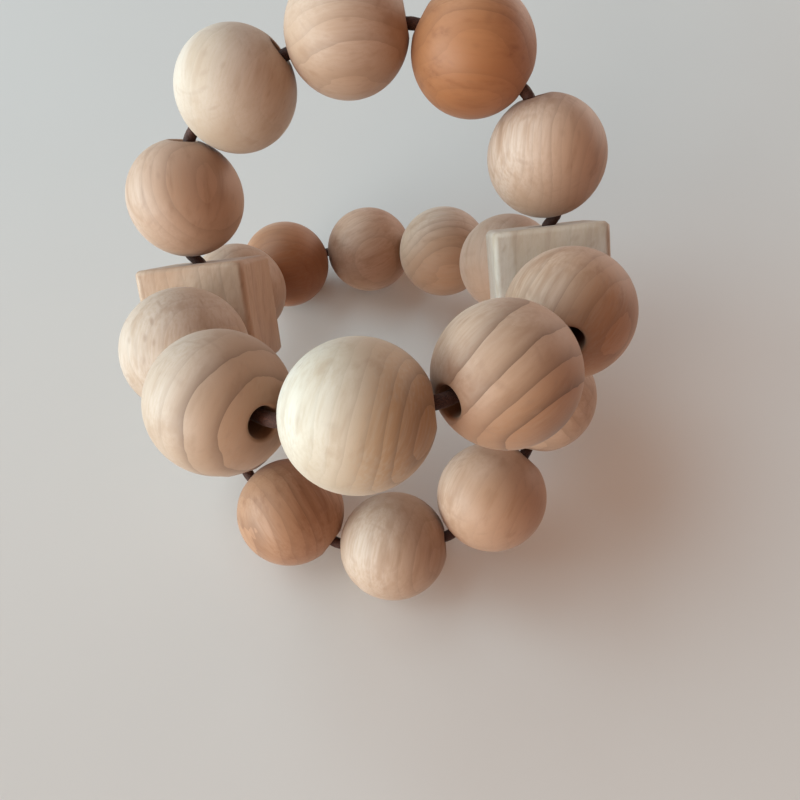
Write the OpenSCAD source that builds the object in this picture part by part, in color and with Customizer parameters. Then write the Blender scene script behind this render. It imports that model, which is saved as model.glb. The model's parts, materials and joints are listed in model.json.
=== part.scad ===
// Baby rattle of twenty round wooden beads and two wooden cubes on two elastic cord loops.
// Each loop runs through both cubes, so four arches of five beads stand out from the cube faces.
// Millimetres, Z up. X runs from the left cube to the right cube, and the front faces minus Y.
// The rattle stands on the table as it was put down: two beads of the lower back arch and the
// middle bead of the lower front arch touch it, which leaves the right cube a little higher.

/* [Beads] */
// Diameter of a round bead
bead_d = 20; // [18:0.5:22]
// Diameter of the bore through a bead
bead_bore_d = 4.4; // [4:0.1:5]
// Bevel at each mouth of a bead bore
bead_mouth_bevel = 0.4; // [0.2:0.1:0.8]
// Space between neighbouring beads of an arch
bead_gap = 0.4; // [0.3:0.05:0.8]
// Slope of the bores of the end beads against the line from cube to cube
end_bore_slope = 80; // [77:0.5:83]
// Extra turn of each end bead toward its cube
end_bead_turn = 6; // [4:0.5:8]

/* [Cubes] */
// Side of a cube
cube_w = 19; // [17:0.5:21]
// Radius along the cube edges
cube_edge_r = 1; // [0.5:0.1:2]
// Diameter of the two crossed bores in a cube
cube_bore_d = 4.4; // [4.4:0.1:5.2]
// Bevel at each mouth of a cube bore
cube_mouth_bevel = 0.5; // [0.2:0.1:1]
// Distance between the middles of the two cubes
cube_spacing = 61; // [58:0.5:64]
// Space between a cube face and the end beads of an arch that stands square to it
seat_gap = 1.4; // [1.3:0.05:2]

/* [Cord] */
// Diameter of the elastic cord
cord_d = 2; // [1.6:0.1:2]
// Space between the cord and the side of a bead bore
cord_clear = 0.35; // [0.3:0.05:0.5]
// Radius of the cord bends at the bore mouths
cord_bend_r = 1.2; // [1.1:0.05:1.4]
// Space between the two cords where they pass inside a cube
cross_gap = 0.1; // [0.06:0.02:0.16]
// Space between the cord of an arch and the cord inside the cube
hinge_gap = 0.3; // [0.3:0.05:0.6]
// Length of the knot of each loop
knot_l = 4; // [3:0.1:4.4]
// Space between a knot and the side of the cube bore
knot_clear = 0.1; // [0.06:0.02:0.14]

/* [Upper back arch] */
// Rise above square to the cube faces, degrees
upper_back_rise = 8.5; // [-10:0.5:20]
// Lean of the end beads toward the middle, degrees
upper_back_lean = -4.5; // [-5:0.5:1]
// Slope of the links beside the middle bead, degrees
upper_back_bow = 16; // [14:0.5:20]
// Sideways turn of the links beside the middle bead, degrees
upper_back_skew = 1.5; // [-3:0.5:5]
// Lean of both end beads toward the right, degrees
upper_back_sway = 0.5; // [-1.5:0.5:3]

/* [Upper front arch] */
// Rise above square to the cube faces, degrees
upper_front_rise = -16; // [-20:0.5:10]
// Lean of the end beads toward the middle, degrees
upper_front_lean = 3; // [-2:0.5:6]
// Slope of the links beside the middle bead, degrees
upper_front_bow = 19.5; // [15:0.5:24]
// Sideways turn of the links beside the middle bead, degrees
upper_front_skew = -1; // [-5:0.5:5]
// Lean of both end beads toward the right, degrees
upper_front_sway = 5; // [0:0.5:7]

/* [Lower front arch] */
// Rise above square to the cube faces, degrees
lower_front_rise = 13; // [-10:0.5:20]
// Lean of the end beads toward the middle, degrees
lower_front_lean = 6; // [2:0.5:9]
// Slope of the links beside the middle bead, degrees
lower_front_bow = 22.5; // [18:0.5:26]
// Sideways turn of the links beside the middle bead, degrees
lower_front_skew = 0; // [-5:0.5:5]
// Lean of both end beads toward the right, degrees
lower_front_sway = -6; // [-9:0.5:-2]

/* [Lower back arch] */
// Rise above square to the cube faces, degrees
lower_back_rise = 11; // [-10:0.5:20]
// Lean of the end beads toward the middle, degrees
lower_back_lean = 9; // [8.5:0.5:11]
// Slope of the links beside the middle bead, degrees
lower_back_bow = 23; // [20:0.5:25]
// Sideways turn of the links beside the middle bead, degrees
lower_back_skew = -5.5; // [-8:0.5:-3]
// Lean of both end beads toward the right, degrees
lower_back_sway = -13.5; // [-14:0.5:-9]

/* [Hidden] */
$fn = 64;

beech_color = [0.83, 0.68, 0.5];
cube_color = [0.8, 0.65, 0.47];
cord_color = [0.26, 0.17, 0.12];

// the four arches, in order round the cubes from the upper back one
ARCH_NAMES = ["upper_back", "upper_front", "lower_front", "lower_back"];
function arch_named(name) = search([name], ARCH_NAMES)[0];
UPPER_BACK = arch_named("upper_back");
UPPER_FRONT = arch_named("upper_front");
LOWER_FRONT = arch_named("lower_front");
LOWER_BACK = arch_named("lower_back");
ARCHES = [UPPER_BACK, UPPER_FRONT, LOWER_FRONT, LOWER_BACK];
BEADS = [0, 1, 2, 3, 4];
LAST = len(BEADS) - 1;
MIDDLE = LAST / 2;
arch_rise = [upper_back_rise, upper_front_rise, lower_front_rise, lower_back_rise];
arch_lean = [upper_back_lean, upper_front_lean, lower_front_lean, lower_back_lean];
arch_bow = [upper_back_bow, upper_front_bow, lower_front_bow, lower_back_bow];
arch_skew = [upper_back_skew, upper_front_skew, lower_front_skew, lower_back_skew];
arch_sway = [upper_back_sway, upper_front_sway, lower_front_sway, lower_back_sway];
// rising turns a back arch one way about X and a front arch the other way
arch_turn = [1, -1, -1, 1];
face_step = 90;
first_face = -45;

bead_r = bead_d / 2;
cord_r = cord_d / 2;
bead_pitch = bead_d + bead_gap;
end_reach = bead_r + seat_gap;
half_spacing = cube_spacing / 2;
face_h = cube_w / 2;
mouth_r = bead_bore_d / 2 + bead_mouth_bevel;
// distance from the middle of a bead to the plane of its bore mouth
mouth_s = sqrt(bead_r * bead_r - mouth_r * mouth_r);
// how far the cord may lie from the axis of a bead bore, and of a cube bore
cord_play = bead_bore_d / 2 - cord_r - cord_clear;
cube_play = cube_bore_d / 2 - cord_r - cord_clear;
cross_shift = (cord_d + cross_gap) / 2;
knot_r = cube_bore_d / 2 - knot_clear;
knot_bevel = knot_r / 4;
// length of the cord inside a cube, which ends below the round ends of the arch cords
inner_cord_l = cube_w - 2 * (cord_r + hinge_gap);
// middle of a knot, halfway along one arm of the bore
knot_at = (cord_r + inner_cord_l / 2) / 2;
// far enough past any surface for a clean cut
cut_over = 1;
// sides of the cord tube, and its steps round a bend and over a round end
cord_sides = 16;
bend_steps = 3;
tip_steps = 3;

function heading(a) = [cos(a), sin(a)];
// inward side of a heading, toward the hollow of the arch
function inward(a) = [sin(a), -cos(a)];
function unit(v) = v / norm(v);
function clamp(v, m) = max(-m, min(m, v));

// middle of an end bead in the plane of the arch, from the line through its two bore mouths
function end_at(a, side) =
    let (lean = arch_lean[a] - side * arch_sway[a])
    [side * (half_spacing - end_reach * tan(lean)), end_reach];

// headings of the six links of an arch: cube to bead, four from bead to bead, bead to cube
function link_headings(a) =
    let (
        up = arch_skew[a] + arch_bow[a],
        down = arch_skew[a] - arch_bow[a],
        span = (end_at(a, 1) - end_at(a, -1)) / bead_pitch,
        rest = span - heading(up) - heading(down),
        mean = atan2(rest[1], rest[0]),
        spread = acos(norm(rest) / 2)
    )
    [
        90 - arch_lean[a] - arch_sway[a],
        mean + spread,
        up,
        down,
        mean - spread,
        arch_lean[a] - arch_sway[a] - 90
    ];

// middles of the five beads of an arch
function bead_at(a, b) =
    b < 1
    ? end_at(a, -1)
    : bead_at(a, b - 1) + bead_pitch * heading(link_headings(a)[b]);

// bore headings: midway between halving the turn at each bead and sharing it over each gap
function bore_headings(a) =
    let (
        l = link_headings(a),
        t = end_bead_turn,
        halved = [
            (l[0] + l[1]) / 2 + t,
            (l[1] + l[2]) / 2,
            (l[2] + l[3]) / 2,
            (l[3] + l[4]) / 2,
            (l[4] + l[5]) / 2 - t
        ],
        r = (end_bore_slope - (l[1] - l[2] + l[3] - l[4])) / 3,
        s0 = end_bore_slope - r,
        s1 = 2 * l[1] + r - s0,
        s2 = 2 * l[2] - r - s1,
        s3 = 2 * l[3] + r - s2,
        s4 = 2 * l[4] - r - s3
    )
    (halved + [s0, s1, s2, s3, s4]) / 2;

// the taut cord crosses each gap level, as far inward as the tighter of the two mouths lets it,
// and passes the mouths beside the cubes in the middle
function gap_level(a, b) =
    let (l = link_headings(a)[b + 1], h = bore_headings(a))
    mouth_s * max(sin(h[b] - l), sin(l - h[b + 1])) - cord_play;
function play_out(a, b) =
    b == LAST
    ? 0
    : clamp(mouth_s * sin(bore_headings(a)[b] - link_headings(a)[b + 1]) - gap_level(a, b), cord_play);
function play_in(a, b) =
    b < 1
    ? 0
    : clamp(mouth_s * sin(link_headings(a)[b] - bore_headings(a)[b]) - gap_level(a, b - 1), cord_play);

// corners of the cord of an arch: cube mouth, in and out of every bead, cube mouth
function cord_corners(a) =
    let (h = bore_headings(a))
    concat(
        [[-half_spacing - cube_play, 0]],
        [
            for (b = BEADS)
                for (out = [-1, 1])
                    bead_at(a, b) + out * mouth_s * heading(h[b])
                    + (out < 0 ? play_in(a, b) : play_out(a, b)) * inward(h[b])
        ],
        [[half_spacing + cube_play, 0]]
    );

// turn of the cord at corner k, and the length of cord its bend takes on each side
function turn_at(c, k) =
    let (u = unit(c[k] - c[k - 1]), w = unit(c[k + 1] - c[k]))
    atan2(cross(u, w), u * w);
function bend_l(c, k) =
    k == 0 || k == len(c) - 1 ? 0 : cord_bend_r * tan(abs(turn_at(c, k)) / 2);

// rings of the cord tube, each with its middle, heading, radius and the distance to the tip
function bend_stations(c, k) =
    let (
        turn = turn_at(c, k),
        u = unit(c[k] - c[k - 1]),
        side = turn < 0 ? -1 : 1,
        first = atan2(u[1], u[0]),
        mid = c[k] - bend_l(c, k) * u - side * cord_bend_r * inward(first)
    )
    [
        for (j = [0 : bend_steps])
            let (h = first + turn * j / bend_steps)
            [mid + side * cord_bend_r * inward(h), h, cord_r, 0]
    ];
function end_stations(p, h, way) =
    [
        for (j = [1 : tip_steps])
            let (b = 90 * (way < 0 ? j : tip_steps + 1 - j) / tip_steps)
            [p + way * cord_r * cos(b) * heading(h), h, cord_r * sin(b), cord_r * (1 - cos(b))]
    ];
function cord_stations(c) =
    let (
        last = len(c) - 1,
        d0 = c[1] - c[0],
        d1 = c[last] - c[last - 1]
    )
    concat(
        end_stations(c[0], atan2(d0[1], d0[0]), -1),
        [for (k = [1 : last - 1]) each bend_stations(c, k)],
        end_stations(c[last], atan2(d1[1], d1[0]), 1)
    );
function ring_point(s, turn) =
    let (p = s[0] - s[2] * cos(turn) * inward(s[1]))
    [p[0], p[1], s[2] * sin(turn)];
function tip_point(s, way) =
    let (p = s[0] + way * s[3] * heading(s[1]))
    [p[0], p[1], 0];

// place of an arch about the line between the cubes
function face_angle(a) = first_face + face_step * a;
function arch_angle(a) = face_angle(a) + arch_turn[a] * arch_rise[a];
function around(angle) = [0, -sin(angle), cos(angle)];
function in_space(a, p) =
    face_h * around(face_angle(a)) + [p[0], 0, 0] + p[1] * around(arch_angle(a));

// the table plane lies under three beads, and the outline of beads and cubes is centred on the origin
stand_1 = in_space(LOWER_FRONT, bead_at(LOWER_FRONT, MIDDLE));
stand_2 = in_space(LOWER_BACK, bead_at(LOWER_BACK, MIDDLE));
stand_3 = in_space(LOWER_BACK, bead_at(LOWER_BACK, MIDDLE - 1));
table_z = unit(cross(stand_2 - stand_1, stand_3 - stand_1));
table_x = unit([1, 0, 0] - table_z[0] * table_z);
table_y = cross(table_z, table_x);
middles = [for (a = ARCHES) for (b = BEADS) in_space(a, bead_at(a, b))];
// how far a cube reaches from its middle in a direction, and the beads and cubes from the first origin
function cube_reach(d) =
    (face_h - cube_edge_r) * (abs(d[0]) + (abs(d[1] - d[2]) + abs(d[1] + d[2])) / sqrt(2))
    + cube_edge_r;
function reach(d) =
    max(concat(
        [for (m = middles) m * d + bead_r],
        [for (side = [-1, 1]) side * half_spacing * d[0] + cube_reach(d)]
    ));
shift_x = (reach(-table_x) - reach(table_x)) / 2;
shift_y = (reach(-table_y) - reach(table_y)) / 2;
shift_z = reach(-table_z);
standing = [
    concat(table_x, shift_x),
    concat(table_y, shift_y),
    concat(table_z, shift_z),
    [0, 0, 0, 1]
];

module bead_shape() {
    difference() {
        sphere(r = bead_r);
        cylinder(h = bead_d + cut_over, d = bead_bore_d, center = true);
        for (end = [-1, 1])
            scale([1, 1, end])
                translate([0, 0, mouth_s - bead_mouth_bevel])
                    cylinder(
                        h = bead_mouth_bevel + cut_over,
                        r1 = bead_bore_d / 2,
                        r2 = mouth_r + cut_over
                    );
    }
}

module on_arch(a) {
    multmatrix(standing)
        translate(face_h * around(face_angle(a)))
            rotate([arch_angle(a) + 90, 0, 0])
                children();
}

module bead(a, b) {
    p = bead_at(a, b);
    color(beech_color)
        on_arch(a)
            translate([p[0], p[1], 0])
                rotate([0, 0, bore_headings(a)[b]])
                    rotate([0, 90, 0])
                        bead_shape();
}

// the cord of an arch is one tube: a round end, a ring at every step of every bend, a round end
module arch_cord(a) {
    c = cord_corners(a);
    stations = cord_stations(c);
    rings = len(stations);
    n = cord_sides;
    points = concat(
        [tip_point(stations[0], -1)],
        [for (s = stations) for (j = [0 : n - 1]) ring_point(s, j * 360 / n)],
        [tip_point(stations[rings - 1], 1)]
    );
    tip = rings * n + 1;
    end_ring = tip - n;
    faces = concat(
        [for (j = [0 : n - 1]) [0, 1 + j, 1 + (j + 1) % n]],
        [
            for (i = [0 : rings - 2])
                for (j = [0 : n - 1])
                    [1 + i * n + j, 1 + (i + 1) * n + j, 1 + (i + 1) * n + (j + 1) % n]
        ],
        [
            for (i = [0 : rings - 2])
                for (j = [0 : n - 1])
                    [1 + i * n + j, 1 + (i + 1) * n + (j + 1) % n, 1 + i * n + (j + 1) % n]
        ],
        [for (j = [0 : n - 1]) [tip, end_ring + (j + 1) % n, end_ring + j]]
    );
    color(cord_color)
        on_arch(a)
            polyhedron(points, faces);
}

module on_cube(side) {
    multmatrix(standing)
        translate([side * half_spacing, 0, 0])
            rotate([-first_face, 0, 0])
                children();
}

module eased_square() {
    inner = cube_w - 2 * cube_edge_r;
    square([cube_w, inner], center = true);
    square([inner, cube_w], center = true);
    for (x = [-1, 1])
        for (y = [-1, 1])
            translate([x, y] * inner / 2)
                circle(r = cube_edge_r);
}

module eased_bar() {
    linear_extrude(cube_w + cut_over, center = true)
        eased_square();
}

module cube_bore() {
    cylinder(h = cube_w + cut_over, d = cube_bore_d, center = true);
    for (end = [-1, 1])
        scale([1, 1, end])
            translate([0, 0, face_h - cube_mouth_bevel])
                cylinder(
                    h = cube_mouth_bevel + cut_over,
                    r1 = cube_bore_d / 2,
                    r2 = cube_bore_d / 2 + cube_mouth_bevel + cut_over
                );
}

module end_cube(side) {
    color(cube_color)
        on_cube(side)
            difference() {
                intersection() {
                    eased_bar();
                    rotate([90, 0, 0])
                        eased_bar();
                    rotate([0, 90, 0])
                        eased_bar();
                    cube(cube_w, center = true);
                }
                cube_bore();
                rotate([90, 0, 0])
                    cube_bore();
            }
}

module knot() {
    rotate_extrude()
        polygon([
            [0, -knot_l / 2],
            [knot_r - knot_bevel, -knot_l / 2],
            [knot_r, -knot_l / 2 + knot_bevel],
            [knot_r, knot_l / 2 - knot_bevel],
            [knot_r - knot_bevel, knot_l / 2],
            [0, knot_l / 2]
        ]);
}

// loop one lies on the outer side of the crossing and loop two on the inner side
module inner_cord(side, loop, knotted) {
    color(cord_color)
        on_cube(side)
            rotate([loop == 1 ? 90 : 0, 0, 0]) {
                translate([side * (loop == 1 ? 1 : -1) * cross_shift, 0, 0])
                    cylinder(h = inner_cord_l, r = cord_r, center = true);
                if (knotted)
                    translate([0, 0, -knot_at])
                        knot();
            }
}

module left_cube() { end_cube(-1); }
module right_cube() { end_cube(1); }
module upper_back_bead_1() { bead(UPPER_BACK, 0); }
module upper_back_bead_2() { bead(UPPER_BACK, 1); }
module upper_back_bead_3() { bead(UPPER_BACK, 2); }
module upper_back_bead_4() { bead(UPPER_BACK, 3); }
module upper_back_bead_5() { bead(UPPER_BACK, 4); }
module upper_front_bead_1() { bead(UPPER_FRONT, 0); }
module upper_front_bead_2() { bead(UPPER_FRONT, 1); }
module upper_front_bead_3() { bead(UPPER_FRONT, 2); }
module upper_front_bead_4() { bead(UPPER_FRONT, 3); }
module upper_front_bead_5() { bead(UPPER_FRONT, 4); }
module lower_front_bead_1() { bead(LOWER_FRONT, 0); }
module lower_front_bead_2() { bead(LOWER_FRONT, 1); }
module lower_front_bead_3() { bead(LOWER_FRONT, 2); }
module lower_front_bead_4() { bead(LOWER_FRONT, 3); }
module lower_front_bead_5() { bead(LOWER_FRONT, 4); }
module lower_back_bead_1() { bead(LOWER_BACK, 0); }
module lower_back_bead_2() { bead(LOWER_BACK, 1); }
module lower_back_bead_3() { bead(LOWER_BACK, 2); }
module lower_back_bead_4() { bead(LOWER_BACK, 3); }
module lower_back_bead_5() { bead(LOWER_BACK, 4); }
module upper_back_cord() { arch_cord(UPPER_BACK); }
module upper_front_cord() { arch_cord(UPPER_FRONT); }
module lower_front_cord() { arch_cord(LOWER_FRONT); }
module lower_back_cord() { arch_cord(LOWER_BACK); }
module left_loop_1_cord() { inner_cord(-1, 1, true); }
module left_loop_2_cord() { inner_cord(-1, 2, false); }
module right_loop_1_cord() { inner_cord(1, 1, false); }
module right_loop_2_cord() { inner_cord(1, 2, true); }

left_cube();
right_cube();
upper_back_bead_1();
upper_back_bead_2();
upper_back_bead_3();
upper_back_bead_4();
upper_back_bead_5();
upper_front_bead_1();
upper_front_bead_2();
upper_front_bead_3();
upper_front_bead_4();
upper_front_bead_5();
lower_front_bead_1();
lower_front_bead_2();
lower_front_bead_3();
lower_front_bead_4();
lower_front_bead_5();
lower_back_bead_1();
lower_back_bead_2();
lower_back_bead_3();
lower_back_bead_4();
lower_back_bead_5();
upper_back_cord();
upper_front_cord();
lower_front_cord();
lower_back_cord();
left_loop_1_cord();
left_loop_2_cord();
right_loop_1_cord();
right_loop_2_cord();
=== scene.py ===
# %% [markdown]
# # A beech bead rattle
#
# Twenty turned beech beads and two beech cubes are strung on two loops of brown elastic cord.
# Each loop passes through both cubes, so four arches of five beads stand out like a ball that a
# baby can grip from any side. The solids and their joints come packed from a CAD model, and this
# lesson dresses them: finer meshes, wood that is cut out of a trunk with growth rings, a braided
# cord, a pale table and soft light from a window.

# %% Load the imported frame
import json
import math

import bmesh
import bpy
import numpy as np
from mathutils import Matrix, Quaternion, Vector


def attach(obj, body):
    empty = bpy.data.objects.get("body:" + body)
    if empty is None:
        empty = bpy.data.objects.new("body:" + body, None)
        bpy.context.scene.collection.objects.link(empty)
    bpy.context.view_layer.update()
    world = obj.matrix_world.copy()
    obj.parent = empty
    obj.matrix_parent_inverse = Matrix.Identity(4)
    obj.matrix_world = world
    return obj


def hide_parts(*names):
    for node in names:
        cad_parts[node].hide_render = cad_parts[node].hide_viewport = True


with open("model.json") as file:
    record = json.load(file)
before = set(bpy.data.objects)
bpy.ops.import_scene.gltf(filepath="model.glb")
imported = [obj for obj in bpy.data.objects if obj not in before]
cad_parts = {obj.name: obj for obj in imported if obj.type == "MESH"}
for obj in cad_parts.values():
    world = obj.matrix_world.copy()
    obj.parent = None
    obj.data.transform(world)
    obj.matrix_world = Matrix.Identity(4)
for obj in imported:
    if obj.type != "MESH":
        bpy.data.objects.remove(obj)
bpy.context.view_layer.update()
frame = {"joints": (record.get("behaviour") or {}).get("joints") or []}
joints = {joint["name"]: joint for joint in frame["joints"]}
MM = 0.001

# %% [markdown]
# ## The camera
#
# The picture was taken by hand from close above, so the near beads look much larger than the far
# ones. A camera could be placed by eye, but the outlines of round beads are easy to measure: the
# place, the aim and the focal length below are the ones at which all the bead circles agree best
# with the picture. The camera comes first, because the grain of each bead is later set as seen
# from here.

# %% Place the camera
CAMERA_AT = Vector((-2.06, -82.06, 134.27)) * MM
LOOKS_AT = Vector((4.81, -20.49, 35.0)) * MM
CAMERA_ROLL = math.radians(5.44)
FOCAL_PIXELS = 692.8
PICTURE_PIXELS = 800
SENSOR = 36.0

scene = bpy.context.scene
lens = bpy.data.cameras.new("camera")
lens.sensor_width = SENSOR
lens.lens = SENSOR * FOCAL_PIXELS / PICTURE_PIXELS
lens.clip_start = 2 * MM
camera = bpy.data.objects.new("camera", lens)
camera.location = CAMERA_AT
aim = (LOOKS_AT - CAMERA_AT).to_track_quat("-Z", "Y")
camera.rotation_mode = "QUATERNION"
camera.rotation_quaternion = aim @ Quaternion((0, 0, 1), CAMERA_ROLL)
scene.collection.objects.link(camera)
scene.camera = camera
to_right, to_top, to_viewer = np.array(camera.rotation_quaternion.to_matrix()).T
print("lens", round(lens.lens, 2), "mm, view direction", np.round(-to_viewer, 3))

# %% [markdown]
# ## Meshes from grids
#
# Every piece of this rattle is a surface that two numbers can address: round the bore and along
# the profile for a bead, round the cord and along its path for the cord. Blender's primitives and
# modifiers could give similar shapes, but a grid worked out with numpy keeps each formula in
# sight, and the quads between neighbouring grid points follow from the size of the grid alone.

# %% Quads of a grid, and a piece made from points
WELD = 0.0005 * MM


def grid_quads(rows, columns, closed_rows=False):
    """Each quad joins a grid point to the next one in its row and to the same two in the next row.
    The columns always close on themselves; the rows close only if asked."""
    row = np.arange(rows if closed_rows else rows - 1)[:, None]
    column = np.arange(columns)[None, :]
    next_row = (row + 1) % rows
    next_column = (column + 1) % columns
    corners = (
        row * columns + column,
        row * columns + next_column,
        next_row * columns + next_column,
        next_row * columns + column,
    )
    return np.stack(np.broadcast_arrays(*corners), axis=-1).reshape(-1, 4)


def make_piece(name, points, faces, material):
    """An object at the origin whose mesh holds the points in place, welded where they coincide,
    with its faces turned outward and shaded smooth."""
    mesh = bpy.data.meshes.new(name)
    mesh.from_pydata(points.reshape(-1, 3).tolist(), [], faces.tolist())
    build = bmesh.new()
    build.from_mesh(mesh)
    bmesh.ops.remove_doubles(build, verts=build.verts, dist=WELD)
    bmesh.ops.dissolve_degenerate(build, edges=build.edges, dist=WELD)
    bmesh.ops.recalc_face_normals(build, faces=build.faces)
    open_edges = sum(not edge.is_manifold for edge in build.edges)
    if build.calc_volume(signed=True) < 0:
        bmesh.ops.reverse_faces(build, faces=build.faces)
    build.to_mesh(mesh)
    build.free()
    mesh.shade_smooth()
    mesh.materials.append(material)
    piece = bpy.data.objects.new(name, mesh)
    scene.collection.objects.link(piece)
    if open_edges:
        print(name, "has", open_edges, "open edges")
    return piece


print("a 3 by 4 grid has", len(grid_quads(3, 4)), "quads")

# %% [markdown]
# ## Shader arithmetic
#
# Wood needs a fair amount of arithmetic in its shader: how far a point lies from the middle of
# the trunk, which growth ring that is, and how late in the season the ring grew there. Wired by
# hand this is a wall of Math nodes. A small class that wraps a socket lets the same sums be
# written as plain Python, and each operator adds the node that it stands for.

# %% A socket that can be added, multiplied and mixed
class Socket:
    """A shader output. Arithmetic on it adds Math nodes to its material."""

    def __init__(self, tree, out):
        self.tree = tree
        self.out = out

    def node(self, kind, settings, sockets, out=0):
        """A new node: its settings first, then the value or the link of each socket."""
        made = self.tree.nodes.new("ShaderNode" + kind)
        for name, value in settings.items():
            setattr(made, name, value)
        for name, value in sockets.items():
            if isinstance(value, Socket):
                self.tree.links.new(value.out, made.inputs[name])
            else:
                made.inputs[name].default_value = value
        return Socket(self.tree, made.outputs[out])

    def beside(self, out):
        """Another output of the same node."""
        return Socket(self.tree, self.out.node.outputs[out])

    def math(self, operation, *values):
        return self.node("Math", {"operation": operation}, dict(enumerate(values)))

    def __add__(self, other):
        return self.math("ADD", self, other)

    def __radd__(self, other):
        return self.math("ADD", other, self)

    def __sub__(self, other):
        return self.math("SUBTRACT", self, other)

    def __rsub__(self, other):
        return self.math("SUBTRACT", other, self)

    def __mul__(self, other):
        return self.math("MULTIPLY", self, other)

    def __rmul__(self, other):
        return self.math("MULTIPLY", other, self)

    def __truediv__(self, other):
        return self.math("DIVIDE", self, other)

    def __pow__(self, other):
        return self.math("POWER", self, other)

    def vector(self, operation, other, out=0):
        return self.node("VectorMath", {"operation": operation}, {0: self, 1: other}, out)

    def ramp(self, low, high):
        """0 up to low, 1 from high on, and a soft S between them."""
        limits = {"Value": self, "From Min": low, "From Max": high}
        return self.node("MapRange", {"interpolation_type": "SMOOTHSTEP"}, limits)

    def mix(self, start, end):
        """The colour start where this is 0 and end where it is 1."""
        return self.node("Mix", {"data_type": "RGBA"}, {0: self, 6: start, 7: end}, 2)

    def noise(self, stretch, detail):
        """Smooth noise from 0 to 1, with this many features per millimetre along each axis."""
        sockets = {"Vector": self.vector("MULTIPLY", stretch), "Scale": 1.0, "Detail": detail}
        return self.node("TexNoise", {}, sockets)


def new_material(name):
    """A material, its shader node, and the Object coordinates of the piece that wears it."""
    material = bpy.data.materials.new(name)
    material.use_nodes = True
    tree = material.node_tree
    place = Socket(tree, tree.nodes.new("ShaderNodeTexCoord").outputs["Object"])
    return material, tree.nodes["Principled BSDF"], place


def wear(shader, **finish):
    """Sets or links the shader's sockets; an underscore in a name stands for a space."""
    for name, value in finish.items():
        socket = shader.inputs[name.replace("_", " ")]
        if isinstance(value, Socket):
            value.tree.links.new(value.out, socket)
        else:
            socket.default_value = value


def srgb(red, green, blue):
    """A colour as it is seen on a screen, 0 to 255, turned into the linear light of a shader."""
    seen = np.array((red, green, blue)) / 255
    linear = np.where(seen < 0.04045, seen / 12.92, ((seen + 0.055) / 1.055) ** 2.4)
    return (*linear.tolist(), 1.0)


print("pale grey 200 is", round(srgb(200, 200, 200)[0], 3), "in linear light")

# %% [markdown]
# ## Beech
#
# Beech is a pale, pinkish wood. A bead is turned from a stick that was sawn out of a trunk, so its
# figure is the trunk's: growth rings round a far middle, each ending in a darker line, browner
# streaks along the grain, and fine rays that run from the middle to the bark and show as short
# dashes, a millimetre or two long. Many sticks turn to orange brown on one side; here that side is
# also painted shade, as it is turned to where a bead lies in shade. A picture of wood wrapped
# round the bead would stretch at the poles and could not pass through the bore. A solid pattern
# has
# neither fault: every point asks where in the trunk it grew. Each bead gets its own stick, that is
# its own direction of grain, distance to the middle of the trunk, ring width, tone and share of
# brown and painted shade.

# %% Wood colours and the beech material
CREAM = np.array(srgb(206, 192, 179))
CARAMEL = np.array(srgb(174, 120, 80))
ROSE = np.array(srgb(188, 152, 136))
RING_DARK = np.array((0.30, 0.21, 0.16, 1.0))
RAY_DARK = np.array((0.62, 0.50, 0.42, 1.0))
DEEP = np.array((0.88, 0.81, 0.74, 1.0))
BORE_DARKENING = np.array((0.70, 0.54, 0.42, 1.0))
END_GRAIN = np.array((0.86, 0.80, 0.74, 1.0))
# The browner side of a stick: partly the wood's own colour, partly painted shade where a bead lies
# in shade.
HEARTWOOD_AND_SHADE = np.array((0.70, 0.47, 0.29, 1.0))
STREAK = np.array((0.58, 0.42, 0.30, 1.0))
HEART_AND_SHADE_SPAN = 7.0
HEART_AND_SHADE_SWAY = 6.0
BORE_R = 2.2
RAY_GAP = 0.9
RAY_LENGTH = 3.2
RAY_DEPTH = 14.0
# features of each noise per millimetre: toward the bark, across, and along the grain
SWAY_NOISE = (0.07, 0.07, 0.018)
RIPPLE_NOISE = (0.45, 0.45, 0.07)
CLOUD_NOISE = (0.13, 0.13, 0.035)
STREAK_NOISE = (0.50, 0.50, 0.09)
FIBRE_NOISE = (2.4, 2.4, 0.16)
PORE_NOISE = (9.0, 9.0, 0.7)


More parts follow.
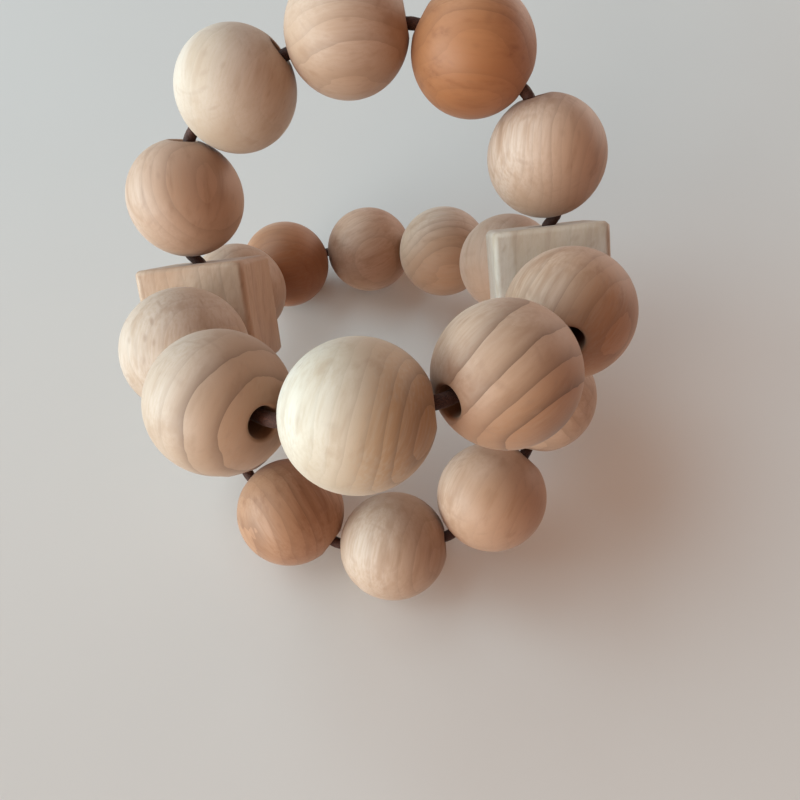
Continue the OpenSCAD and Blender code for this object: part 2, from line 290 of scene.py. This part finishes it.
def beech(name, middle, grain, bark, stick, bores):
    """Beech cut from a trunk. A Mapping node turns a point into trunk millimetres: x toward the
    bark, y across, z along the grain, with the bead's middle at x = pith. Rings are whole steps of
    the distance from the z axis, bent by noise that is stretched along the grain, and each darkens
    toward its end. One side of the stick is browner and keeps its lines where the other is clear;
    that browner side is partly the wood's own colour and partly painted shade, turned to where the
    bead lies in shade.
    Rays are narrow spots of a cell pattern in the unrolled trunk. bores are (point, direction)
    lines, round which the wood is darker."""
    material, shader, place = new_material(name)
    across = np.cross(grain, bark)
    trunk = Matrix((bark, across, grain))
    shift = Vector((stick["pith"], 0, stick["along"])) - trunk @ Vector(middle) / MM
    turn = {"Location": shift, "Rotation": trunk.to_euler(), "Scale": (1 / MM,) * 3}
    spot = place.node("Mapping", {"vector_type": "POINT"}, {"Vector": place, **turn})
    x = spot.node("SeparateXYZ", {}, {"Vector": spot})
    y, z = x.beside(1), x.beside(2)

    sway = spot.noise(SWAY_NOISE, 1.0) - 0.5
    ripple = spot.noise(RIPPLE_NOISE, 2.0) - 0.5
    reach = spot.vector("MULTIPLY", (1, 1, 0)).vector("LENGTH", (0, 0, 0), 1)
    reach = reach + sway * SWAY + ripple * RIPPLE
    ring = reach / stick["ring"]
    year = ring.math("FRACT", ring)
    strength = ring.node(
        "TexWhiteNoise", {"noise_dimensions": "1D"}, {"W": ring.math("FLOOR", ring)}
    )
    line = year ** 3.2 * (strength * 0.7 + 0.3)
    # Toward the bark side the wood turns browner: partly its own colour, partly painted shade.
    heart_and_shade = (x + sway * HEART_AND_SHADE_SWAY).ramp(stick["pith"] - HEART_AND_SHADE_SPAN, stick["pith"] + HEART_AND_SHADE_SPAN)
    rings = line * (1 - (1 - heart_and_shade) * stick["clear"]) * stick["lines"]

    arc = y.math("ARCTAN2", y, x) * stick["pith"]
    unrolled = arc.node(
        "CombineXYZ",
        {},
        {"X": arc / RAY_GAP, "Y": z / RAY_LENGTH, "Z": reach / RAY_DEPTH},
    )
    cell = arc.node("TexVoronoi", {"feature": "F1"}, {"Vector": unrolled, "Scale": 1.0})
    rays = (1 - cell.ramp(0.06, 0.30)) * stick["rays"]

    cloud = spot.noise(CLOUD_NOISE, 2.0)
    streak = spot.noise(STREAK_NOISE, 4.0)
    fibre = spot.noise(FIBRE_NOISE, 3.0)
    pores = spot.noise(PORE_NOISE, 2.0)

    tone = CREAM + (CARAMEL - CREAM) * stick["tone"]
    tone = tone + (ROSE - tone) * stick["rose"]
    color = cloud.ramp(0.36, 0.66).mix(tone, tone * DEEP)
    # The browner side, partly the wood's own tone and partly painted shade on the side of the bead
    # that lies in shade.
    color = (heart_and_shade * stick["heart_and_shade"]).mix(color, tuple(tone * HEARTWOOD_AND_SHADE))
    color = (streak.ramp(0.48, 0.72) * stick["fibre"]).mix(color, tuple(tone * STREAK))
    color = (fibre.ramp(0.35, 0.75) * stick["fibre"]).mix(color, tuple(tone * DEEP * DEEP))
    color = rings.mix(color, tuple(tone * RING_DARK))
    color = rays.mix(color, tuple(tone * RAY_DARK))
    color = (pores.ramp(0.58, 0.72) * 0.22).mix(color, tuple(tone * RAY_DARK))

    normal = place.beside("Normal").vector("DOT_PRODUCT", tuple(grain), 1)
    cut = normal.math("ABSOLUTE", normal) ** 3.0
    color = (cut * 0.7).mix(color, tuple(tone * END_GRAIN * DEEP))
    # Darker round and inside each bore.
    bore_darkening = 0.0
    for point, direction in bores:
        arm = place.vector("SUBTRACT", tuple(point)).vector("CROSS_PRODUCT", tuple(direction))
        ring_gap = arm.vector("LENGTH", (0, 0, 0), 1) / MM
        bore_darkening = 1 - ring_gap.ramp(BORE_R - 0.1, BORE_R + 1.3) + bore_darkening
    color = (bore_darkening.math("MINIMUM", bore_darkening, 1.0) * 0.55).mix(color, tuple(tone * BORE_DARKENING))

    height = fibre * 0.5 + pores * 0.35 - rings * 0.6 - rays * 0.5
    bump = height.node("Bump", {}, {"Strength": 0.35, "Distance": 0.06 * MM, "Height": height})
    gloss = 0.46 + fibre * 0.14 + cut * 0.12 + rings * 0.08
    wear(shader, Base_Color=color, Roughness=gloss, Normal=bump)
    wear(shader, Specular_IOR_Level=0.42, Sheen_Weight=0.12, Sheen_Roughness=0.45)
    return material


print("beech takes its rings from the trunk and its tone from the stick")

# %% [markdown]
# ## Sticks for the beads
#
# No two beads in the picture look alike: one shows four bold growth lines, one is almost blank,
# one is the colour of caramel. The table below gives the stick of each bead as it is seen from
# the camera: the slope of its grain in the picture, and how far the bark side is turned toward
# the viewer. At 0 degrees the rings are cut edge on and give straight stripes, at 90 they are cut
# flat and give ovals. Then come the ring width in millimetres and the shares of lines, rays and
# fibre, of caramel and rose in the tone, of brown on one side, which is partly painted shade, and
# of lines missing on the other.
# The beads that hide behind others get sticks of the same kinds. Random sticks would be less to
# type, but then no bead would match its picture.

# %% The stick of each bead and cube
STICK_NAMES = (
    "slope", "facing", "ring", "lines", "rays", "fibre", "tone", "rose", "heart_and_shade", "clear",
)
STICKS = {
    "upper_back_bead_1": (94, 30, 2.6, 0.30, 0.50, 0.7, 0.25, 0.45, 0.55, 0.4),
    "upper_back_bead_2": (70, 20, 2.4, 0.15, 0.30, 0.3, 0.05, 0.15, 0.15, 0.4),
    "upper_back_bead_3": (4, 5, 2.6, 0.40, 0.30, 0.5, 0.30, 0.30, 0.30, 0.4),
    "upper_back_bead_4": (-6, 4, 2.4, 0.50, 0.40, 1.0, 1.00, 0.05, 0.60, 0.4),
    "upper_back_bead_5": (84, 12, 1.5, 0.40, 0.45, 0.7, 0.30, 0.45, 0.65, 0.4),
    "upper_front_bead_1": (86, 40, 1.8, 0.25, 0.80, 0.6, 0.10, 0.30, 0.20, 0.4),
    "upper_front_bead_2": (68, 18, 3.6, 1.10, 0.35, 0.5, 0.15, 0.25, 0.65, 1.0),
    "upper_front_bead_3": (75, 8, 2.2, 0.75, 0.35, 0.6, -0.25, 0.12, 1.00, 0.9),
    "upper_front_bead_4": (42, 4, 3.9, 1.50, 0.40, 0.5, 0.50, 0.10, 0.80, 0.0),
    "upper_front_bead_5": (60, 20, 2.8, 0.60, 0.40, 0.8, 0.55, 0.20, 0.85, 0.5),
    "lower_front_bead_1": (20, 30, 2.2, 0.40, 0.40, 0.4, 0.35, 0.20, 0.20, 0.4),
    "lower_front_bead_2": (-58, 30, 1.9, 0.60, 0.45, 1.0, 0.80, 0.10, 0.30, 0.4),
    "lower_front_bead_3": (80, 22, 2.6, 0.30, 0.35, 0.6, 0.35, 0.20, 0.25, 0.4),
    "lower_front_bead_4": (64, 28, 2.6, 0.15, 0.35, 0.6, 0.55, 0.30, 0.60, 0.4),
    "lower_front_bead_5": (-30, 20, 2.0, 0.45, 0.40, 0.5, 0.45, 0.15, 0.20, 0.4),
    "lower_back_bead_1": (75, 45, 2.2, 0.40, 0.40, 0.4, 0.40, 0.20, 0.20, 0.4),
    "lower_back_bead_2": (15, 40, 2.0, 0.35, 0.40, 0.5, 0.90, 0.15, 1.00, 0.4),
    "lower_back_bead_3": (30, 55, 2.3, 0.30, 0.40, 0.6, 0.65, 0.30, 0.15, 0.4),
    "lower_back_bead_4": (6, 25, 2.1, 0.50, 0.35, 0.6, 0.10, 0.30, 0.70, 0.4),
    "lower_back_bead_5": (80, 50, 2.3, 0.25, 0.35, 0.4, 0.15, 0.45, 0.20, 0.4),
    "left_cube": (84, 20, 2.2, 0.30, 0.55, 0.6, 0.45, 0.00, 0.30, 0.4),
    "right_cube": (86, 25, 2.4, 0.25, 0.40, 0.4, -0.15, 0.25, 0.10, 0.4),
}
PITHS = (34.0, 47.0, 61.0, 90.0, 55.0)
STICK_STEP = 37.0
SWAY = 9.0
RIPPLE = 0.9


def stick_of(name):
    """The stick by name, with its place in the trunk: each next one lies a step further along."""
    stick = dict(zip(STICK_NAMES, STICKS[name]))
    order = list(STICKS).index(name)
    stick.update(pith=PITHS[order % len(PITHS)], along=STICK_STEP * order)
    return stick


def grain_and_bark(stick):
    """The grain lies in the picture plane at its slope. The bark side starts at a right angle to
    it in that plane and is turned toward the viewer."""
    slope, facing = np.radians(stick["slope"]), np.radians(stick["facing"])
    grain = np.cos(slope) * to_right + np.sin(slope) * to_top
    side = np.sin(slope) * to_right - np.cos(slope) * to_top
    return grain, np.cos(facing) * side + np.sin(facing) * to_viewer


print(len(STICKS), "sticks of beech")

# %% [markdown]
# ## Beads
#
# A bead is turned on a lathe and drilled through, and the sharp rim of the bore is rounded over.
# It could be a sphere with a boolean hole, but the hole would leave a ragged rim of long thin
# faces. As a turned part it is simply a profile carried round the bore: the outer arc, a small
# round over at each mouth, and the wall of the bore. A turned bead is never quite true, so the
# profile shrinks by up to a tenth of a millimetre on two sides.

# %% Turn the beads
BEAD_R = 10.0
MOUTH_ROUND = 0.45
ARC_STEPS, ROUND_STEPS, WALL_STEPS, BEAD_SIDES = 56, 7, 9, 96
OUT_OF_TRUE = 0.05


def bead_profile():
    """Distance along the bore and from it, once round the section of a bead. The round over is a
    circle that touches the ball from inside and the bore from outside, so its middle lies the
    rounding radius under the ball and the same above the bore."""
    lift = BORE_R + MOUTH_ROUND
    middle = np.sqrt((BEAD_R - MOUTH_ROUND) ** 2 - lift**2)
    touch = np.arctan2(lift, middle)
    arc = np.linspace(np.pi - touch, touch, ARC_STEPS)
    ball = BEAD_R * np.stack((np.cos(arc), np.sin(arc)), axis=-1)
    bend = np.linspace(touch, -np.pi / 2, ROUND_STEPS + 1)[1:]
    rim = MOUTH_ROUND * np.stack((np.cos(bend), np.sin(bend)), axis=-1) + (middle, lift)
    along = np.linspace(middle, -middle, WALL_STEPS + 1)[1:]
    wall = np.stack((along, np.full_like(along, BORE_R)), axis=-1)
    far_rim = (rim * (-1, 1))[::-1][1:]
    return np.concatenate((ball, rim, wall, far_rim))


def turn_bead(middle, axis, lop):
    """The profile carried round the axis. Two opposite sides are drawn in by a cosine of twice the
    angle, most at the waist of the ball and not at all in the bore."""
    along, radius = bead_profile().T
    angle = np.arange(BEAD_SIDES) * 2 * np.pi / BEAD_SIDES
    waist = np.clip((radius - BORE_R) / (BEAD_R - BORE_R), 0, 1)[:, None]
    radius = radius[:, None] - OUT_OF_TRUE * waist * (1 + np.cos(2 * angle + lop))
    first = np.cross(axis, to_viewer)
    first /= np.linalg.norm(first)
    second = np.cross(axis, first)
    round_it = np.cos(angle)[:, None] * first + np.sin(angle)[:, None] * second
    return middle + MM * (along[:, None, None] * axis + radius[:, :, None] * round_it)


ARCHES = ("upper_back", "upper_front", "lower_front", "lower_back")
BEADS = range(1, 6)
for arch in ARCHES:
    for number in BEADS:
        name = f"{arch}_bead_{number}"
        spin = joints[name + "_spin"]
        middle, axis = np.array(spin["pos_m"]), np.array(spin["axis"])
        stick = stick_of(name)
        wood = beech("beech_" + name, middle, *grain_and_bark(stick), stick, [(middle, axis)])
        points = turn_bead(middle, axis, lop=2.4 * number)
        quads = grid_quads(*points.shape[:2], closed_rows=True)
        bead = make_piece("turned_" + name, points, quads, wood)
        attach(bead, name)
        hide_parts(name)
print("last bead:", len(bead.data.polygons), "faces")

# %% [markdown]
# ## Cubes
#
# The two cubes gather the loops. Each is a sawn block with eased edges and two crossed bores, one
# for each loop. A box with bevels and booleans would do, but the crossing is easier to state than
# to cut: where two bores of the same radius meet at a right angle, the wall of one ends at the
# height that the point has across, so the meeting line needs no cutting at all. Each face is a
# grid in rings: out of the crossing, round the mouth, over the flat, and round the eased edge as
# far as its middle, where the neighbouring face takes over.

# %% Build the cubes
CUBE_H = 9.5
CUBE_EASE = 1.0
CUBE_MOUTH = 0.6
CUBE_SIDES = 64
CUBE_SPACING = 61.0

swings = {arch: np.array(joints[arch + "_swing"]["pos_m"]) for arch in ARCHES}
hub = np.mean(list(swings.values()), axis=0)
to_right_cube = np.array(joints["upper_back_swing"]["axis"])
up_back = (swings["upper_back"] - hub) / np.linalg.norm(swings["upper_back"] - hub)
up_front = (swings["upper_front"] - hub) / np.linalg.norm(swings["upper_front"] - hub)


def face_rings(bored):
    """Rings of one cube face that looks along its third number, before the edges are eased. The
    outline of a ring blends from a circle to a square, whose corners lie on the diagonals."""
    angle = (np.arange(CUBE_SIDES) / CUBE_SIDES - 0.125) * 2 * np.pi
    circle = np.stack((np.cos(angle), np.sin(angle)), axis=-1)
    square = circle / np.abs(circle).max(axis=-1, keepdims=True)
    rings = []
    hole = 0.0
    if bored:
        hole = BORE_R + CUBE_MOUTH
        crossing = BORE_R * np.abs(circle[:, 1])
        for part in np.linspace(0, 1, 9)[:-1]:
            level = crossing + part * (CUBE_H - CUBE_MOUTH - crossing)
            rings.append((BORE_R * circle, level))
        for bend in np.linspace(0, np.pi / 2, 7)[:-1]:
            level = CUBE_H - CUBE_MOUTH * (1 - np.sin(bend))
            rings.append(((hole - CUBE_MOUTH * np.cos(bend)) * circle, level))
    flat = CUBE_H - CUBE_EASE
    for part in (0.0, 0.12, 0.3, 0.5, 0.7, 0.85, 0.95, 0.985, 1.0):
        rings.append((hole * circle * (1 - part) + flat * square * part, CUBE_H))
    for bend in np.linspace(0, np.pi / 4, 6)[1:]:
        rings.append(((flat + CUBE_EASE * np.tan(bend)) * square, CUBE_H))
    shaped = [
        np.column_stack((outline, np.broadcast_to(level, CUBE_SIDES))) for outline, level in rings
    ]
    return np.stack(shaped)


def ease(points):
    """Draws each point that sticks out of the inner block, which is smaller by the easing radius,
    back to the easing radius from it. Points of the bores lie inside and stay."""
    inner = np.clip(points, CUBE_EASE - CUBE_H, CUBE_H - CUBE_EASE)
    over = points - inner
    length = np.linalg.norm(over, axis=-1, keepdims=True)
    eased = inner + CUBE_EASE * over / np.maximum(length, 1e-9)
    return np.where(length > CUBE_EASE, eased, points)


def cube_points():
    """Six faces, each as rings, in cube axes: along the row, to the upper back, to the upper
    front. The first axis is never bored."""
    bored, plain = face_rings(True), face_rings(False)
    faces = []
    for sign in (-1, 1):
        out = np.array((1, 1, sign))
        faces.append((bored * out)[..., [0, 2, 1]])
        faces.append(bored * out)
        faces.append((plain * out)[..., [2, 0, 1]])
    return [ease(face) for face in faces]


cube_axes = np.stack((to_right_cube, up_back, up_front))
for name, way in (("left_cube", -1), ("right_cube", 1)):
    middle = hub + way * CUBE_SPACING / 2 * MM * to_right_cube
    points, quads, start = [], [], 0
    for face in cube_points():
        points.append((middle + MM * face @ cube_axes).reshape(-1, 3))
        quads.append(grid_quads(*face.shape[:2]) + start)
        start += len(points[-1])
    stick = stick_of(name)
    bores = [(middle, up_back), (middle, up_front)]
    wood = beech("beech_" + name, middle, *grain_and_bark(stick), stick, bores)
    cube = make_piece("eased_" + name, np.concatenate(points), np.concatenate(quads), wood)
    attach(cube, "cubes")
    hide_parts(name)
print("a cube has", len(cube.data.polygons), "faces and sides of", 2 * CUBE_H, "mm")

# %% [markdown]
# ## Elastic cord
#
# The cord is a braided elastic, 2 mm thick, pulled tight through every bore. It shows only in the
# small gaps beside the front bead, but there it shows how the rattle is made. A curve with a round
# bevel would give a smooth rod. Here the tube is a grid of angle and length whose radius follows
# the braid: two families of strands wind round in opposite directions, and in each diamond where
# they cross, one of the two lies on top.

# %% The braid and its material
CORD_R = 1.0
STRANDS = 6
BRAID_STEP = 0.62
BRAID_DEPTH = 0.09
CORD_SIDES = 48
CORD_STEP = 0.13


def braid(angle, length):
    """Height of the braid from 0 to 1. Each family counts its strands by angle plus or minus
    length. The family on top changes from diamond to diamond, and its strand is a half sine."""
    left = STRANDS * angle / (2 * np.pi) + length / (2 * BRAID_STEP)
    right = STRANDS * angle / (2 * np.pi) - length / (2 * BRAID_STEP)
    on_top = (np.floor(left) + np.floor(right)) % 2 == 0
    return np.sqrt(np.sin(np.pi * np.where(on_top, left % 1, right % 1)))


def braided_tube(path, side):
    """A tube round the path. Its section is spanned by the given side vector and the one square to
    that and to the path. Both ends are domed: the radius there follows a quarter circle."""
    steps = np.linalg.norm(np.diff(path, axis=0), axis=1)
    length = np.concatenate(((0,), np.cumsum(steps)))
    stations = np.linspace(0, length[-1], int(length[-1] / CORD_STEP) + 1)
    path = np.stack([np.interp(stations, length, path[:, k]) for k in range(3)], axis=-1)
    ahead = np.gradient(path, axis=0)
    ahead /= np.linalg.norm(ahead, axis=1, keepdims=True)
    up = np.cross(ahead, side)
    up /= np.linalg.norm(up, axis=1, keepdims=True)
    angle = np.arange(CORD_SIDES) * 2 * np.pi / CORD_SIDES
    relief = braid(angle[None, :], stations[:, None])
    to_end = np.minimum(stations, stations[-1] - stations)
    dome = np.sqrt(np.clip(1 - (1 - np.clip(to_end / CORD_R, 0, 1)) ** 2, 0, 1))
    radius = (CORD_R - BRAID_DEPTH * (1 - relief)) * dome[:, None]
    ring = np.cos(angle)[None, :, None] * side + np.sin(angle)[None, :, None] * up[:, None, :]
    return path[:, None, :] + radius[:, :, None] * ring


def cord_material():
    """Dark brown textile elastic: light and dark yarn in long fine streaks, and lint that makes
    it pale at a slant."""
    material, shader, place = new_material("brown_elastic")
    spot = place.vector("MULTIPLY", (1 / MM,) * 3)
    yarn = spot.noise((7.0, 7.0, 7.0), 3.0)
    patch = spot.noise((0.5, 0.5, 0.5), 1.0)
    color = yarn.ramp(0.35, 0.7).mix(srgb(52, 28, 22), srgb(98, 62, 50))
    color = (patch.ramp(0.4, 0.7) * 0.5).mix(color, srgb(62, 34, 27))
    bump = yarn.node("Bump", {}, {"Strength": 0.4, "Distance": 0.05 * MM, "Height": yarn})
    wear(shader, Base_Color=color, Roughness=0.62 + yarn * 0.2, Normal=bump)
    wear(shader, Sheen_Weight=0.2, Sheen_Roughness=0.4, Specular_IOR_Level=0.3)
    return material


elastic = cord_material()
print("braid:", 2 * STRANDS, "strands")

# %% [markdown]
# ## The route of the cord
#
# A taut cord takes the shortest way it can: in every gap between two beads it runs level, as far
# to the hollow side of the arch as the tighter of the two bore mouths lets it. Its corners at the
# mouths follow from the beads alone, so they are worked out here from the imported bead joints
# rather than typed in. Averaging the corners along the length rounds them as the cord's own
# stiffness does.

# %% String the arches
CORD_PLAY = 0.85
MOUTH_AT = 9.656
SOFTEN = 1.5
FINE = 0.05


def route(arch):
    """Corners of the cord in metres: cube mouth, in and out of each bead, cube mouth. Across a gap
    the height of each mouth over the line of the bead middles is known, and the cord runs at the
    greater of the two heights less the play."""
    spins = [joints[f"{arch}_bead_{number}_spin"] for number in BEADS]
    middles = np.array([spin["pos_m"] for spin in spins]) / MM
    bores = np.array([spin["axis"] for spin in spins])
    mouth = swings[arch] / MM
    rise = middles[2] - mouth
    rise -= rise @ to_right_cube * to_right_cube
    side = np.cross(to_right_cube, rise / np.linalg.norm(rise))
    links = np.diff(middles, axis=0)
    links /= np.linalg.norm(links, axis=1, keepdims=True)
    outward = np.cross(side, links)
    leave = MOUTH_AT * np.einsum("ij,ij->i", bores[:-1], outward)
    enter = -MOUTH_AT * np.einsum("ij,ij->i", bores[1:], outward)
    level = np.maximum(leave, enter) - CORD_PLAY
    play_out = np.append(np.clip(leave - level, -CORD_PLAY, CORD_PLAY), 0.0)
    play_in = np.append(0.0, np.clip(enter - level, -CORD_PLAY, CORD_PLAY))
    inward = np.cross(bores, side)
    entries = middles - MOUTH_AT * bores + play_in[:, None] * inward
    exits = middles + MOUTH_AT * bores + play_out[:, None] * inward
    ends = mouth + np.outer((-1, 1), to_right_cube) * (CUBE_SPACING / 2 + CORD_PLAY)
    between = np.stack((entries, exits), axis=1).reshape(-1, 3)
    return np.concatenate((ends[:1], between, ends[1:])), side


def soften(corners):
    """The straight runs between the corners, first lengthened by the cord radius at both ends,
    sampled finely and averaged twice over a short window."""
    first, last = corners[0] - corners[1], corners[-1] - corners[-2]
    corners = corners.copy()
    corners[0] += CORD_R * first / np.linalg.norm(first)
    corners[-1] += CORD_R * last / np.linalg.norm(last)
    steps = np.linalg.norm(np.diff(corners, axis=0), axis=1)
    length = np.concatenate(((0,), np.cumsum(steps)))
    at = np.linspace(0, length[-1], int(length[-1] / FINE))
    path = np.stack([np.interp(at, length, corners[:, k]) for k in range(3)], axis=-1)
    half = int(SOFTEN / FINE / 2)
    for _ in range(2):
        before = 2 * path[0] - path[half:0:-1]
        after = 2 * path[-1] - path[-2 : -half - 2 : -1]
        padded = np.concatenate((before, path, after))
        total = np.cumsum(np.concatenate((np.zeros((1, 3)), padded)), axis=0)
        path = (total[2 * half + 1 :] - total[: -2 * half - 1]) / (2 * half + 1)
    return path, length[-1]


for arch in ARCHES:
    corners, side = route(arch)
    path, run = soften(corners)
    points = braided_tube(path, side) * MM
    cord = make_piece("braided_" + arch + "_cord", points, grid_quads(*points.shape[:2]), elastic)
    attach(cord, arch + "_arch")
    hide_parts(arch + "_cord")
    print(arch, "cord runs", round(run, 1), "mm")

# %% [markdown]
# ## Cord inside the cubes
#
# Inside a cube the two loops pass each other side by side, and one of them carries its knot there,
# pulled out of sight. This part never shows, but a model that is taken apart should not be hollow
# where the cord belongs. The run is the same braided tube, bowed aside at the crossing, and the
# knot is a barrel whose radius waves along a helix, like the turns of a pulled-up knot.

# %% Thread the cubes and tie the knots
CROSSING = 1.05
HINGE_GAP = 0.3
KNOT_R = 2.1
KNOT_L = 4.0
KNOT_TURNS = 3
KNOT_GROOVE = 0.35
KNOT_STEPS = 60


def inner_run(along, way, aside):
    """From mouth to mouth along the bore, set off sideways: by the crossing distance in the middle
    and by the play at the ends, with a parabola between."""
    half = CUBE_H - CORD_R - HINGE_GAP
    part = np.linspace(-1, 1, 120)
    offset = way * (aside * CROSSING + (CORD_PLAY - aside * CROSSING) * part**2)
    return half * part[:, None] * along + offset[:, None] * to_right_cube


def knot_points(along, across):
    """A barrel round the bore: an ellipse section along the length, less a groove that follows a
    helix of a few turns."""
    part = np.linspace(-1, 1, KNOT_STEPS)[:, None]
    angle = (np.arange(CORD_SIDES) * 2 * np.pi / CORD_SIDES)[None, :]
    barrel = np.clip(1 - part**4, 0, 1) ** 0.5
    groove = 1 - np.abs(np.sin(np.pi * KNOT_TURNS * part / 2 + angle / 2))
    radius = (KNOT_R - KNOT_GROOVE * groove) * barrel
    third = np.cross(along, across)
    ring = np.cos(angle)[..., None] * across + np.sin(angle)[..., None] * third
    return (part * KNOT_L / 2)[..., None] * along + radius[..., None] * ring


LOOPS = {1: (up_back, 1, -1), 2: (up_front, -1, 1)}
knot_at = (CUBE_H - HINGE_GAP) / 2
for cube_name, way in (("left", -1), ("right", 1)):
    middle = hub + way * CUBE_SPACING / 2 * MM * to_right_cube
    for loop, (along, aside, knotted) in LOOPS.items():
        tube = braided_tube(inner_run(along, way, aside), np.cross(to_right_cube, along))
        points = [tube.reshape(-1, 3)]
        quads = [grid_quads(*tube.shape[:2])]
        if way == knotted:
            knot = knot_points(along, to_right_cube) - knot_at * along
            quads.append(grid_quads(*knot.shape[:2]) + len(points[0]))
            points.append(knot.reshape(-1, 3))
        name = f"{cube_name}_loop_{loop}_cord"
        points = middle + MM * np.concatenate(points)
        run = make_piece("braided_" + name, points, np.concatenate(quads), elastic)
        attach(run, "cubes")
        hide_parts(name)
print("four runs of cord inside the cubes, two with a knot")

# %% [markdown]
# ## Table
#
# The rattle stands on a plain pale table. A single plane would do for the camera, but a low view
# shows how even it is, so the top has a trace of mottling and a painted light tint: warmer toward
# the viewer and cooler away from it. The table is only stage: it is not part of the rattle.

# %% Lay the table
TABLE_HALF = 0.9
TABLE_STEPS = 9


def table_material():
    """Matt pale laminate: a trace of mottling, and a painted light tint, cooler away from the
    viewer and warmer near.
    """
    material, shader, place = new_material("pale_table")
    spot = place.vector("MULTIPLY", (1 / MM,) * 3)
    depth = spot.node("SeparateXYZ", {}, {"Vector": spot}).beside(1)
    mottle = spot.noise((0.02, 0.02, 0.02), 4.0)
    # Painted light tint: warmer near the viewer, cooler away from it.
    color = depth.ramp(-90.0, 120.0).mix(srgb(222, 214, 210), srgb(219, 219, 219))
    color = (mottle * 0.12).mix(color, srgb(200, 198, 197))
    wear(shader, Base_Color=color, Roughness=0.6 + mottle * 0.1)
    wear(shader, Specular_IOR_Level=0.25)
    return material


span = np.linspace(-TABLE_HALF, TABLE_HALF, TABLE_STEPS)
flat_x, flat_y = np.meshgrid(span, span)
table_points = np.stack((flat_x, flat_y, np.zeros_like(flat_x)), axis=-1)
steps = np.arange(TABLE_STEPS - 1)
corner = (steps[:, None] * TABLE_STEPS + steps).reshape(-1, 1)
table_quads = corner + np.array((0, 1, TABLE_STEPS + 1, TABLE_STEPS))
table_mesh = bpy.data.meshes.new("table")
table_mesh.from_pydata(table_points.reshape(-1, 3).tolist(), [], table_quads.tolist())
table_mesh.materials.append(table_material())
table = bpy.data.objects.new("table", table_mesh)
scene.collection.objects.link(table)
print("table of", 2 * TABLE_HALF, "m, top at", table_points[..., 2].max())

# %% [markdown]
# ## Light
#
# The window is a wide, low area light far out on the left, cool as daylight is, so the shading
# rolls softly from cream on the left of each bead to deep brown on the right. A sky light above
# it fills the table from the back, and a small warm glow comes from the front. The wall across
# the room gives some of the window back, low from the right and behind, so the far sides are not
# lost. The rest of the room is the world's light: dim and warm, so the shadows turn brown. For
# the camera and for gloss the world is a pale wall instead, so a low view ends in a plain pale
# ground. A single sun lamp would be simpler, but its hard shadow edges are not in the picture.

# %% Hang the lights
ROOM_COLOR = (0.25, 0.105, 0.04, 1.0)
PALE_WALL = (0.62, 0.63, 0.63, 1.0)


def soft_light(name, at, width, height, watts, color):
    """An area light at a place in metres, aimed at the middle of the rattle."""
    lamp = bpy.data.lights.new(name, "AREA")
    lamp.shape = "RECTANGLE"
    lamp.size, lamp.size_y = width, height
    lamp.energy = watts
    lamp.color = color
    holder = bpy.data.objects.new(name, lamp)
    holder.location = at
    holder.rotation_euler = (Vector(hub) - Vector(at)).to_track_quat("-Z", "Y").to_euler()
    scene.collection.objects.link(holder)
    return holder


soft_light("window", (-3.00, -1.10, 0.62), 4.6, 1.5, 190.0, (0.67, 0.97, 1.05))
soft_light("sky", (-1.60, 0.70, 2.00), 2.8, 1.8, 42.0, (0.70, 1.0, 1.12))
soft_light("room_glow", (-1.46, -2.08, 0.60), 1.6, 1.0, 26.0, (1.0, 0.66, 0.45))
soft_light("far_wall", (2.20, 1.90, 0.30), 2.4, 0.8, 30.0, (1.0, 0.88, 0.76))

world = bpy.data.worlds.new("room")
scene.world = world
world.use_nodes = True
backdrop = world.node_tree.nodes["Background"]
light_path = world.node_tree.nodes.new("ShaderNodeLightPath")
rays = Socket(world.node_tree, light_path.outputs["Is Camera Ray"])
seen = rays.math("MAXIMUM", rays, rays.beside("Is Glossy Ray"))
seen = seen.math("MAXIMUM", seen, rays.beside("Is Transmission Ray"))
world.node_tree.links.new(seen.mix(ROOM_COLOR, PALE_WALL).out, backdrop.inputs["Color"])
scene.view_settings.view_transform = "Standard"
print("window, sky, glow, far wall and a room of", ROOM_COLOR[:3])
